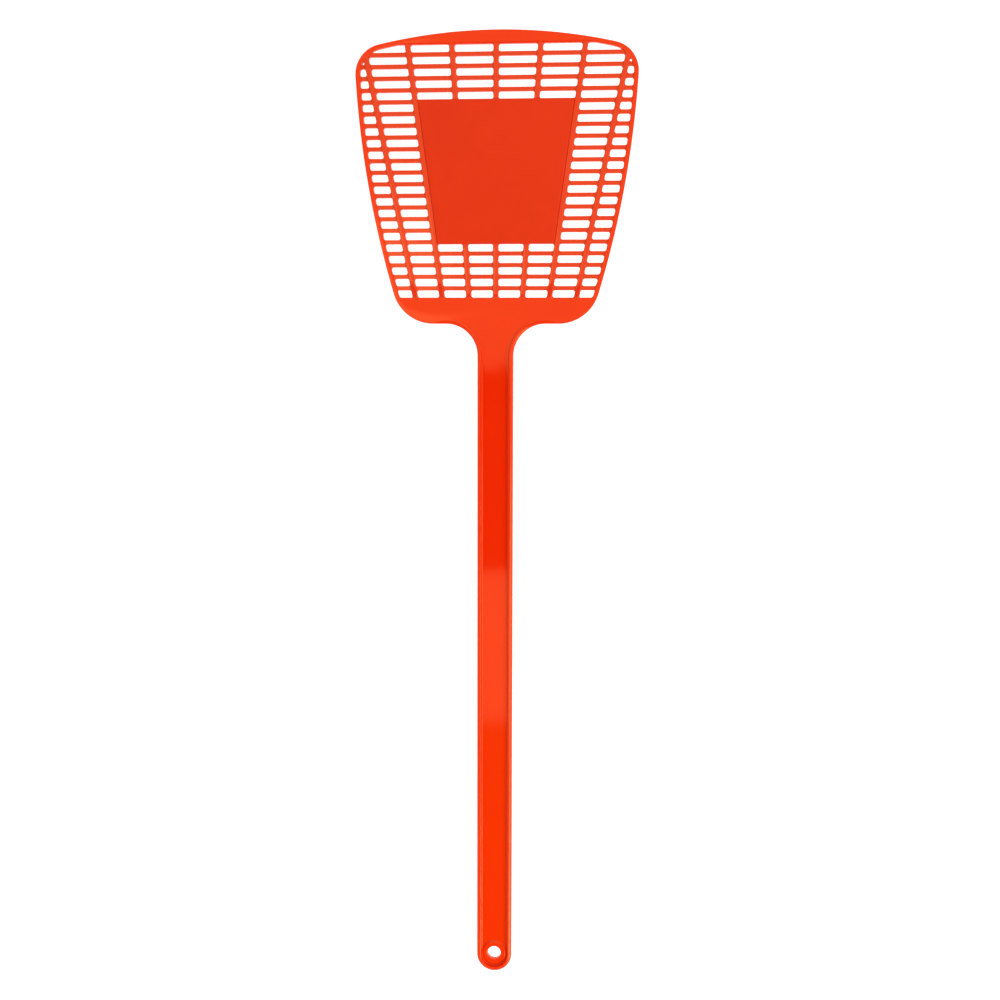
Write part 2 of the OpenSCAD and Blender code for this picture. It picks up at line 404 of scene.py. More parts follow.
@dataclass(frozen=True)
class GlossPlastic(Plastic):
    """Polished plastic, with slow shifts of shade and a faint ripple left by the mould."""

    roughness: float = 0.035
    roughness_swing: float = 0.02
    grain_roughness: float = 0.02
    shade_scale: float = 34.0
    shade_swing: float = 1.6
    ripple_scale: float = 260.0
    ripple_depth: float = 0.003 * MM
    grain_scale: float = 2600.0
    grain_share: float = 0.12
    specular: float = 1.0
    tint: Colour = (1.0, 0.45, 0.15)

    def material(self) -> bpy.types.Material:
        """Builds the material.

        Returns:
            The new material.
        """
        material, graph = new_material(self.name)
        shade = self.noise(graph, self.shade_scale, detail=2.0) - 0.5
        ripple = self.noise(graph, self.ripple_scale, detail=1.0)
        grain = self.noise(graph, self.grain_scale, detail=2.0)
        roughness = shade * self.roughness_swing + grain * self.grain_roughness + self.roughness
        height = ripple + grain * self.grain_share
        bump = {"Strength": 1.0, "Distance": self.ripple_depth, "Height": height}
        gloss = {"Specular IOR Level": self.specular, "Specular Tint": (*self.tint, 1.0)}
        self.finish(graph, shade * self.shade_swing + 0.5, roughness, bump, gloss)
        return material


@dataclass(frozen=True)
class PanelPlastic(Plastic):
    """The panel's semi-matt face: faint mottling, and a fine spark-eroded grain."""

    roughness: float = 0.42
    roughness_swing: float = 0.12
    mottle_scale: float = 120.0
    cloud_scale: float = 22.0
    shade_swing: float = 0.9
    grain_scale: float = 3200.0
    grain_depth: float = 0.03 * MM
    grain_strength: float = 0.6
    detail: float = 3.0
    specular: float = 0.6
    tint: Colour = (1.0, 0.45, 0.2)

    def material(self) -> bpy.types.Material:
        """Builds the material.

        Returns:
            The new material.
        """
        material, graph = new_material(self.name)
        mottle = self.noise(graph, self.mottle_scale, self.detail) - 0.5
        cloud = self.noise(graph, self.cloud_scale, self.detail) - 0.5
        grain = self.noise(graph, self.grain_scale, self.detail)
        share = mottle * self.shade_swing + cloud * self.shade_swing + 0.5
        bump = {"Strength": self.grain_strength, "Distance": self.grain_depth, "Height": grain}
        gloss = {"Specular IOR Level": self.specular, "Specular Tint": (*self.tint, 1.0)}
        self.finish(graph, share, mottle * self.roughness_swing + self.roughness, bump, gloss)
        return material


@dataclass(frozen=True)
class FloorPaint:
    """Plain white studio floor."""

    name: str = "studio_floor"
    colour: Colour = (0.92, 0.92, 0.92)
    roughness: float = 0.9
    glow: float = 0.25

    def material(self) -> bpy.types.Material:
        """Builds the material.

        Returns:
            The new material.
        """
        material, graph = new_material(self.name)
        sockets = {
            "Base Color": (*self.colour, 1.0),
            "Roughness": self.roughness,
            "Emission Color": (*WHITE, 1.0),
            "Emission Strength": self.glow,
        }
        shader = graph.get("ShaderNodeBsdfPrincipled", None, sockets)
        graph.add("ShaderNodeOutputMaterial", None, {"Surface": shader})
        return material


# ---- Outlines and skins ----


@dataclass(frozen=True)
class EdgePoint:
    """A point on an outline, with the unit direction that leads into the material."""

    x: float
    y: float
    nx: float
    ny: float

    def inset(self, depth: float) -> Point:
        """The point moved into the material."""
        return self.x + self.nx * depth, self.y + self.ny * depth

    def mirrored(self) -> EdgePoint:
        """The same point on the other side of the Y axis."""
        return EdgePoint(-self.x, self.y, -self.nx, self.ny)


def arc(
    centre: Point, radius: float, start: float, end: float, steps: int, inward: bool = True
) -> list[EdgePoint]:
    """Points along an arc.

    Args:
        centre: Its centre.
        radius: Its radius.
        start: Direction of its first point, in radians.
        end: Direction of its last point.
        steps: Number of equal steps.
        inward: Whether the material lies on the centre's side.

    Returns:
        The points, both ends included.
    """
    sign = -1 if inward else 1
    points = []
    for step in range(steps + 1):
        turn = start + (end - start) * step / steps
        c, s = math.cos(turn), math.sin(turn)
        points.append(EdgePoint(centre[0] + radius * c, centre[1] + radius * s, sign * c, sign * s))
    return points


def joined(*runs: Iterable[EdgePoint]) -> list[EdgePoint]:
    """Runs of points one after another, without points that repeat the one before.

    Args:
        runs: The runs, in order.

    Returns:
        One list of points.
    """
    result: list[EdgePoint] = []
    for run in runs:
        for point in run:
            if not result or math.dist(point.inset(0.0), result[-1].inset(0.0)) > SAME_PLACE:
                result.append(point)
    return result


def rounded_outline(corners: Sequence[Point], radius: float, steps: int) -> list[EdgePoint]:
    """A convex polygon's outline with rounded corners.

    Args:
        corners: Its corners, anticlockwise.
        radius: Radius of the corners.
        steps: Steps in each corner.

    Returns:
        The closed outline.
    """
    points: list[EdgePoint] = []
    count = len(corners)
    for i, corner in enumerate(corners):
        here = Vector(corner)
        before = (here - Vector(corners[i - 1])).normalized()
        after = (Vector(corners[(i + 1) % count]) - here).normalized()
        n0, n1 = Vector((-before.y, before.x)), Vector((-after.y, after.x))
        centre = here + (n0 + n1) * (radius / (1 + n0.dot(n1)))
        start, end = math.atan2(-n0.y, -n0.x), math.atan2(-n1.y, -n1.x)
        end += FULL_TURN if end < start else 0
        points += arc((centre.x, centre.y), radius, start, end, steps)
    return points


class Skin:
    """Builds a closed mesh out of rings of points, the strips between them and flat fills."""

    def __init__(self) -> None:
        """Starts an empty mesh."""
        self.mesh = bmesh.new()

    def ring(self, points: Iterable[tuple[float, float, float]]) -> Ring:
        """Adds one vertex for each point."""
        return [self.mesh.verts.new(point) for point in points]

    def rings(self, edge: Sequence[EdgePoint], stations: Iterable[Station]) -> list[Ring]:
        """Runs an outline along each station of a cross-section.

        Args:
            edge: The outline.
            stations: Depth inside the outline and height, one pair for each ring.

        Returns:
            The rings.
        """
        return [
            self.ring((*point.inset(depth), height) for point in edge) for depth, height in stations
        ]

    def loft(self, rings: Sequence[Ring], closed: bool) -> None:
        """Joins each ring to the next with quads.

        Args:
            rings: Rings of equal length.
            closed: Whether the rings run round.
        """
        for first, second in zip(rings, rings[1:]):
            count = len(first)
            for i in range(count if closed else count - 1):
                j = (i + 1) % count
                self.mesh.faces.new((first[i], first[j], second[j], second[i]))

    def end(self, rings: Sequence[Ring]) -> None:
        """Closes the flat end that open rings leave between their first and last points."""
        self.cap([ring[0] for ring in rings] + [ring[-1] for ring in reversed(rings)])

    def cap(self, ring: Ring) -> None:
        """Closes a flat ring with one face."""
        self.mesh.faces.new(ring)

    def fill(self, outer: Ring, holes: Sequence[Ring]) -> None:
        """Fills a level outline with triangles.

        Args:
            outer: The outline's ring.
            holes: Rings that stay open.
        """
        rings = [outer, *holes]
        verts = [vert for ring in rings for vert in ring]
        edges, start = [], 0
        for ring in rings:
            size = len(ring)
            edges += [(start + i, start + (i + 1) % size) for i in range(size)]
            start += size
        places = [Vector((vert.co.x, vert.co.y)) for vert in verts]
        _, _, faces, origins, _, _ = delaunay_2d_cdt(places, edges, [], 1, MERGE_GAP)
        outlines = [[(vert.co.x, vert.co.y) for vert in ring] for ring in rings]
        for face in faces:
            ids = [origins[i][0] for i in face if origins[i]]
            if len(ids) < 3:
                continue
            middle = sum((places[i] for i in ids), Vector((0.0, 0.0))) / len(ids)
            in_hole = any(inside(middle, line) for line in outlines[1:])
            if inside(middle, outlines[0]) and not in_hole:
                self.mesh.faces.new([verts[i] for i in ids])

    def finished(self, name: str) -> bpy.types.Object:
        """Makes the object, its faces outward and its crisp edges kept.

        Args:
            name: The object's name.

        Returns:
            The object, linked to the scene.
        """
        bmesh.ops.recalc_face_normals(self.mesh, faces=self.mesh.faces)
        mesh = bpy.data.meshes.new(name)
        self.mesh.to_mesh(mesh)
        self.mesh.free()
        return placed(name, mesh)


def placed(name: str, mesh: bpy.types.Mesh) -> bpy.types.Object:
    """Links an object for a mesh, shaded smooth between its crisp edges.

    Args:
        name: The object's name.
        mesh: Its mesh.

    Returns:
        The object.
    """
    mesh.name = name
    mesh.shade_smooth()
    mesh.set_sharp_from_angle(angle=math.radians(SHARP_ANGLE))
    return link(name, mesh)


def link(name: str, data: bpy.types.ID) -> bpy.types.Object:
    """A new object that holds the data, in the scene.

    Args:
        name: The object's name.
        data: Its mesh, lamp or camera.

    Returns:
        The object.
    """
    holder = bpy.data.objects.new(name, data)
    bpy.context.scene.collection.objects.link(holder)
    return holder


def inside(spot: Vector, outline: Sequence[Point]) -> bool:
    """Whether a spot lies inside a closed outline.

    Args:
        spot: The spot.
        outline: The outline's points.

    Returns:
        Whether it lies inside.
    """
    odd = False
    for i, (x1, y1) in enumerate(outline):
        x0, y0 = outline[i - 1]
        if (y0 > spot.y) != (y1 > spot.y) and spot.x < x0 + (spot.y - y0) * (x1 - x0) / (y1 - y0):
            odd = not odd
    return odd


def bend(
    centre: Point, radius: float, start: float, end: float, steps: int = CURVE_STEPS
) -> list[Station]:
    """Stations along a rounded edge of a cross-section.

    Args:
        centre: Centre of the rounding, as depth and height.
        radius: Its radius.
        start: Direction of its first station, in degrees.
        end: Direction of its last station.
        steps: Number of equal steps.

    Returns:
        The stations, both ends included.
    """
    return [
        (point.x, point.y)
        for point in arc(centre, radius, math.radians(start), math.radians(end), steps)
    ]


def lerp(a: float, b: float, t: float) -> float:
    """The number between a and b at t."""
    return a + (b - a) * t


# ---- Sizes ----


@dataclass(frozen=True)
class Section:
    """Cross-section of the plate and of the rims on it, as stations from the outer edge in."""

    plate: float
    rim_w: float
    rim_h: float
    rim_round: float = 1.3 * MM
    rim_inner: float = 0.35 * MM
    fillet: float = 0.5 * MM
    lap: float = 0.5 * MM
    edge_round: float = 0.28 * MM
    back_round: float = 0.2 * MM
    narrow: float = 0.95 * MM

    def back(self) -> list[Station]:
        """Stations (depth, height) round the back edge, from the back face out to the side."""
        r = self.back_round
        return bend((r, r), r, -90, -180, 3)

    def rim(self) -> list[Station]:
        """Stations from the side over the rim and down its fillet to the floor.

        Returns:
            The stations.
        """
        r, q, w, h, f = self.rim_round, self.rim_inner, self.rim_w, self.rim_h, self.fillet
        outer, inner = bend((r, h - r), r, 180, 90), bend((w - q, h - q), q, 90, 0)
        foot = bend((w + f, self.plate + f), f, 180, 270)
        return outer + inner + foot + [(w + f + self.lap, self.plate)]

    def flat(self) -> list[Station]:
        """As many stations as the rim has, over the plate's rounded edge and level after it.

        Returns:
            The stations.
        """
        r = self.edge_round
        outer = bend((r, self.plate - r), r, 180, 90)
        rest = len(self.rim()) - len(outer)
        level = [(lerp(r, self.narrow, (i + 1) / rest), self.plate) for i in range(rest)]
        return outer + level

    def stations(self, spread: float, rise: float) -> list[Station]:
        """Stations of a section between flat plate and full rim.

        Args:
            spread: 1 for the rim's depths, 0 for the plate edge's.
            rise: 1 for the rim's heights, 0 for the plate's.

        Returns:
            All stations, from the back face out, up and in.
        """
        top = [
            (lerp(flat[0], rim[0], spread), lerp(flat[1], rim[1], rise))
            for flat, rim in zip(self.flat(), self.rim())
        ]
        return self.back() + top


@dataclass(frozen=True)
class HandlePlan:
    """Places along the strap handle."""

    half: float
    end_centre: float
    neck_start: float
    neck_end: float
    section: Section

    @classmethod
    def read(cls) -> HandlePlan:
        """Reads the handle's sizes off the frame.

        Returns:
            The handle's plan.
        """
        rim_lo, rim_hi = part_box("handle_rim_right")
        neck_lo, neck_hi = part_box("neck_web")
        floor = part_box("handle_web")[1].z
        section = Section(plate=floor, rim_w=rim_hi.x - rim_lo.x, rim_h=rim_hi.z)
        return cls(rim_hi.x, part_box("end_rim")[1].y, neck_lo.y, neck_hi.y, section)


@dataclass(frozen=True)
class HeadPlan:
    """The head's outline, drawn by tangent arcs, and the grid of its slots."""

    half: float
    bottom: float
    top: float
    slots_bottom: float
    slots_top: float
    corner_y: float
    throat_x: float
    throat_y: float
    pitch_bottom: float
    pitch_top: float
    row_pitch: float
    bar_w: float
    rib_w: float
    top_r: float = 225 * MM
    side_r: float = 390 * MM
    side_rise: float = 4 * MM
    lower_r: float = 17.2 * MM
    border: float = 1.9 * MM
    rows: int = 22
    panel_rows: tuple[int, int] = (6, 17)
    panel_ribs: tuple[int, int] = (2, 6)
    ribs: int = 7
    corner_steps: int = 22
    side_steps: int = 30
    top_steps: int = 24

    @classmethod
    def read(cls, handle: HandlePlan) -> HeadPlan:
        """Reads the head's sizes off the frame.

        Args:
            handle: The handle's plan.

        Returns:
            The head's plan.
        """
        rows, panel_row = cls.rows, cls.panel_rows[0]
        side_lo, side_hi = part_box("border_right")
        corner_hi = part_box("corner_right")[1]
        middle_lo, middle_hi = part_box("upright_4_upper")
        throat_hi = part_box("throat_rim_right")[1]
        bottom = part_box("lower_web")[0].y
        row_pitch = (middle_lo.y - side_lo.y) / (rows - panel_row + 1)
        rib_w = middle_hi.x - middle_lo.x
        outer = cls.ribs // 2
        return cls(
            half=corner_hi.x,
            bottom=bottom,
            top=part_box("top_bar")[1].y,
            slots_bottom=side_lo.y,
            slots_top=corner_hi.y,
            corner_y=side_hi.y,
            throat_x=throat_hi.x,
            throat_y=bottom - (throat_hi.x - handle.half),
            pitch_bottom=(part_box("upright_7")[0].x + rib_w / 2) / outer,
            pitch_top=(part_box("upright_6")[1].x - rib_w / 2) / (outer - 1),
            row_pitch=row_pitch,
            bar_w=rows * row_pitch - (corner_hi.y - side_lo.y),
            rib_w=rib_w,
        )

    # Centres of the outline's arcs

    @property
    def top_centre(self) -> Point:
        """Centre of the crowned top edge."""
        return 0.0, self.top - self.top_r

    @property
    def corner_r(self) -> float:
        """Radius of the upper corners, whose arcs touch the head's box and the top arc."""
        rise = self.corner_y - self.top_centre[1]
        spare = self.top_r - self.half
        return (self.top_r**2 - rise**2 - self.half**2) / (2 * spare)

    @property
    def corner_centre(self) -> Point:
        """Centre of the right upper corner."""
        return self.half - self.corner_r, self.corner_y

    @property
    def side_centre(self) -> Point:
        """Centre of the right side's arc."""
        y = self.top + self.side_rise
        x, cy = self.corner_centre
        return x - math.sqrt((self.side_r - self.corner_r) ** 2 - (y - cy) ** 2), y

    @property
    def lower_centre(self) -> Point:
        """Centre of the right lower corner."""
        x, y = self.side_centre
        cy = self.bottom + self.lower_r
        return x + math.sqrt((self.side_r - self.lower_r) ** 2 - (y - cy) ** 2), cy

    def side_turn(self, centre: Point) -> float:
        """Direction from the side's centre to another arc's centre."""
        x, y = self.side_centre
        return math.atan2(centre[1] - y, centre[0] - x)

    def right_edge(self) -> list[EdgePoint]:
        """The outline's right half, from the lower edge up to the middle of the top.

        Returns:
            Its points.
        """
        low, side = self.lower_centre, self.side_centre
        corner, top = self.corner_centre, self.top_centre
        turn0, turn1 = self.side_turn(low), self.side_turn(corner)
        turn2 = math.atan2(corner[1] - top[1], corner[0] - top[0])
        return joined(
            arc(low, self.lower_r, -math.pi / 2, turn0, self.corner_steps),
            arc(side, self.side_r, turn0, turn1, self.side_steps),
            arc(corner, self.corner_r, turn1, turn2, self.corner_steps),
            arc(top, self.top_r, turn2, math.pi / 2, self.top_steps),
        )

    def half_width(self, y: float, inset: float) -> float:
        """Half the head's width at a height, drawn in by inset.

        Args:
            y: The height.
            inset: How far in from the outline.

        Returns:
            The distance from the middle.
        """
        low, side = self.lower_centre, self.side_centre
        corner, top = self.corner_centre, self.top_centre
        turn = math.atan2(corner[1] - top[1], corner[0] - top[0])
        if y > corner[1] + (self.corner_r - inset) * math.sin(turn):
            return reach(self.top_r - inset, y - top[1])
        if y > corner[1]:
            return corner[0] + reach(self.corner_r - inset, y - corner[1])
        if y < low[1]:
            return low[0] + reach(self.lower_r - inset, y - low[1])
        return side[0] + reach(self.side_r - inset, y - side[1])

    # The grid of slots

    def row(self, k: int) -> Point:
        """Lower and upper edge of slot row k, counted from the top."""
        upper = self.slots_top - (k - 1) * self.row_pitch
        return upper - (self.row_pitch - self.bar_w), upper

    def panel_span(self) -> Point:
        """Lower and upper edge of the swatting panel."""
        first, last = self.panel_rows
        return self.row(last + 1)[1], self.row(first - 1)[0]

    def rib_x(self, j: float, y: float) -> float:
        """Centre line of rib j, counted from the left, at a height."""
        share = (y - self.slots_bottom) / (self.slots_top - self.slots_bottom)
        return (j - (self.ribs + 1) / 2) * lerp(self.pitch_bottom, self.pitch_top, share)

    def wall_x(self, j: int, y: float, side: int) -> float:
        """One side of a wall at a height.

        Args:
            j: The wall: 0 and ribs + 1 are the border, the others the ribs.
            y: The height.
            side: -1 for its left side, 1 for its right side.

        Returns:
            Its place across the head.
        """
        if j in (0, self.ribs + 1):
            return math.copysign(self.half_width(y, self.border), j - 1)
        return self.rib_x(j, y) + side * self.rib_w / 2


def reach(radius: float, rise: float) -> float:
    """Half the chord of a circle at a height above its centre."""
    return math.sqrt(max(radius**2 - rise**2, 0.0))


def settle(
    piece: bpy.types.Object, body: Body, slot: Slot, finish: bpy.types.Material, *nodes: str
) -> bpy.types.Object:
    """Dresses a piece, rides it on its body and lets it stand for its nodes.

    Args:
        piece: The piece, in place.
        body: The body that it rides on.
        slot: The record's slot of its finish.
        finish: Its material.
        nodes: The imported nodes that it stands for.

    Returns:
        The piece.
    """
    dress(piece, slot, finish, *nodes)
    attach(piece, body.value)
    return piece


def dress(piece: bpy.types.Object, slot: Slot, finish: bpy.types.Material, *nodes: str) -> None:
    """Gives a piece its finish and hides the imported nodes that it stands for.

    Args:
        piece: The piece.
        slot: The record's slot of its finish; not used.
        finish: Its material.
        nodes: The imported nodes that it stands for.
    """
    piece.data.materials.clear()
    piece.data.materials.append(finish)
    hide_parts(*nodes)
    LOG.info("%s: %d faces, stands for %d nodes", piece.name, len(piece.data.polygons), len(nodes))


# ---- Sub-assemblies ----


@dataclass
class Strap:
    """The strap handle: a floor between two rims that run round its half-round end."""

    plan: HandlePlan
    finish: bpy.types.Material
    eye_h: float
    eye_r: float = 5.3 * MM
    eye_soft: float = 0.6 * MM
    eye_foot: float = 0.3 * MM
    bore_r: float = 2.8 * MM
    bore_lip: float = 0.25 * MM
    seat_r: float = 3.5 * MM
    end_steps: int = 48
    length_steps: int = 40
    eye_steps: int = 72
    slope_steps: int = 10

    def build(self) -> None:
        """Builds the strap and the hanging eye."""
        nodes = ["handle_web", "handle_rim_left", "handle_rim_right", "end_rim"]
        settle(self._strap(), Body.HANDLE, Slot.HANDLE, self.finish, *nodes)
        settle(self._eye(), Body.HANDLE, Slot.HANDLE, self.finish, "hang_eye")

    def _strap(self) -> bpy.types.Object:
        """The floor and the rims, from the neck round the end and back.

        Returns:
            The piece.
        """
        plan = self.plan
        right = []
        for step in range(self.length_steps + 1):
            y = lerp(plan.neck_start, plan.end_centre, step / self.length_steps)
            right.append(EdgePoint(plan.half, y, -1.0, 0.0))
        end = arc((0.0, plan.end_centre), plan.half, 0.0, -math.pi, self.end_steps)
        left = [point.mirrored() for point in reversed(right)]
        skin = Skin()
        rings = skin.rings(joined(right, end, left), plan.section.stations(1.0, 1.0))
        skin.loft(rings, closed=False)
        seat = arc((0.0, 0.0), self.seat_r, 0.0, FULL_TURN, self.end_steps)[:-1]
        wall = skin.rings(seat, [(0.0, 0.0), (0.0, plan.section.plate)])
        skin.loft(wall, closed=True)
        skin.fill(rings[0], wall[:1])
        skin.fill(rings[-1], wall[1:])
        skin.end(rings)
        return skin.finished("strap")

    def _eye(self) -> bpy.types.Object:
        """The raised ring round the hanging hole, turned about the hole's axis.

        Returns:
            The piece.
        """
        bore, lip, soft = self.bore_r, self.bore_lip, self.eye_soft
        plate, top, foot = self.plan.section.plate, self.eye_h, self.eye_r + self.eye_foot
        profile = bend((bore + lip, lip), lip, 180, 270)
        profile += [(self.seat_r, 0.0), (self.seat_r, plate - self.eye_foot)]
        profile.append((foot, plate - self.eye_foot))
        for step in range(self.slope_steps + 1):
            share = step / self.slope_steps
            sunk = (1 + math.cos(math.pi * share)) / 2
            profile.append((lerp(foot, self.eye_r - soft, share), lerp(top, plate, sunk)))
        profile += bend((bore + soft, top - soft), soft, 90, 180)
        skin = Skin()
        spokes = arc((0.0, 0.0), 1.0, 0.0, FULL_TURN, self.eye_steps)[:-1]
        rings = [
            skin.ring((radius * spoke.x, radius * spoke.y, height) for spoke in spokes)
            for radius, height in profile
        ]
        skin.loft([*rings, rings[0]], closed=True)
        return skin.finished("hang_ring")


@dataclass
class Neck:
    """The stretch of strap that bends, with the strap's own section and many short lengths."""

    plan: HandlePlan
    finish: bpy.types.Material
    lengths: int = 40

    def build(self) -> None:
        """Builds the neck."""
        plan = self.plan
        half = [(plan.half - depth, height) for depth, height in plan.section.stations(1.0, 1.0)]
        section = half + [(-x, z) for x, z in reversed(half)]
        skin = Skin()
        rings = []
        for step in range(self.lengths + 1):
            y = lerp(plan.neck_start, plan.neck_end, step / self.lengths)
            rings.append(skin.ring((x, y, z) for x, z in section))
        skin.loft(rings, closed=True)
        skin.cap(rings[0])
        skin.cap(rings[-1])
        piece = skin.finished("neck")
        dress(piece, Slot.HANDLE, self.finish, "neck_web", "neck_rim_left", "neck_rim_right")
        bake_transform(piece)


@dataclass
class HeadFrame:
    """The plate round the lattice: throat, lower web, borders, corners and top bar as one."""

    handle: HandlePlan
    plan: HeadPlan
    finish: bpy.types.Material
    throat_steps: int = 26
    lead_steps: int = 4
    run_steps: int = 5
    lip: float = 0.2 * MM
    shoulder_slant: float = 0.1

    def build(self) -> None:
        """Builds the frame and the slots' open window in it."""
        nodes = ["throat_web", "throat_rim_left", "throat_rim_right", "lower_web"]
        nodes += ["border_left", "border_right", "corner_left", "corner_right", "top_bar"]
        settle(self._frame(), Body.HEAD, Slot.BORDER, self.finish, *nodes)

    def _edge(self) -> list[tuple[EdgePoint, float, float]]:
        """The outline from the neck's right side round to its left side.

        Returns:
            Each point, with how far its section spreads and rises from plate to rim.
        """
        plan, handle = self.plan, self.handle
        radius = plan.throat_x - handle.half
        lead = []
        for step in range(self.lead_steps):
            y = lerp(handle.neck_end, plan.throat_y, step / self.lead_steps)
            lead.append((EdgePoint(handle.half, y, -1.0, 0.0), 1.0, 1.0))
        centre = (plan.throat_x, plan.throat_y)
        curve = [
            (point, 1.0, min(1.0, (plan.bottom - point.y) / radius))
            for point in arc(centre, radius, math.pi, math.pi / 2, self.throat_steps, inward=False)
        ]
        edge = plan.right_edge()
        run = []
        for step in range(1, self.run_steps):
            share = step / self.run_steps
            x = plan.throat_x + (edge[0].x - plan.throat_x) * share
            run.append((EdgePoint(x, plan.bottom, 0.0, 1.0), 1 - share, 0.0))
        right = lead + curve + run + [(point, 0.0, 0.0) for point in edge]
        left = [(point.mirrored(), spread, rise) for point, spread, rise in reversed(right[:-1])]
        return right + left

    def _window(self) -> list[EdgePoint]:
        """The open field's outline, anticlockwise, its directions leading into the frame.

        Returns:
            Its points.
        """
        plan = self.plan
        side = [
            EdgePoint(*point.inset(plan.border), -point.nx, -point.ny)
            for point in plan.right_edge()
            if plan.slots_bottom < point.inset(plan.border)[1] < plan.slots_top
        ]
        low_x = plan.half_width(plan.slots_bottom, plan.border)
        high_x = plan.half_width(plan.slots_top, plan.border)
        corner = EdgePoint(low_x, plan.slots_bottom, side[0].nx, -1.0)
        shoulder = EdgePoint(high_x, plan.slots_top, self.shoulder_slant, 1.0)
        right = [corner, *side, shoulder]
        return right + [point.mirrored() for point in reversed(right)]

    def _frame(self) -> bpy.types.Object:
        """The plate with its rounded edges and the throat's sinking rims.

        Returns:
            The piece.
        """
        section = self.handle.section
        skin = Skin()
        columns = [
            [(*point.inset(depth), height) for depth, height in section.stations(spread, rise)]
            for point, spread, rise in self._edge()
        ]
        rings = [skin.ring(ring) for ring in zip(*columns)]
        skin.loft(rings, closed=False)
        r = self.lip
        lip = bend((r, r), r, -90, -180, 2) + bend((r, section.plate - r), r, 180, 90, 3)
        walls = skin.rings(self._window(), lip)
        skin.loft(walls, closed=True)
        skin.fill(rings[0], walls[:1])
        skin.fill(rings[-1], walls[-1:])
        skin.end(rings)
        return skin.finished("head_frame")


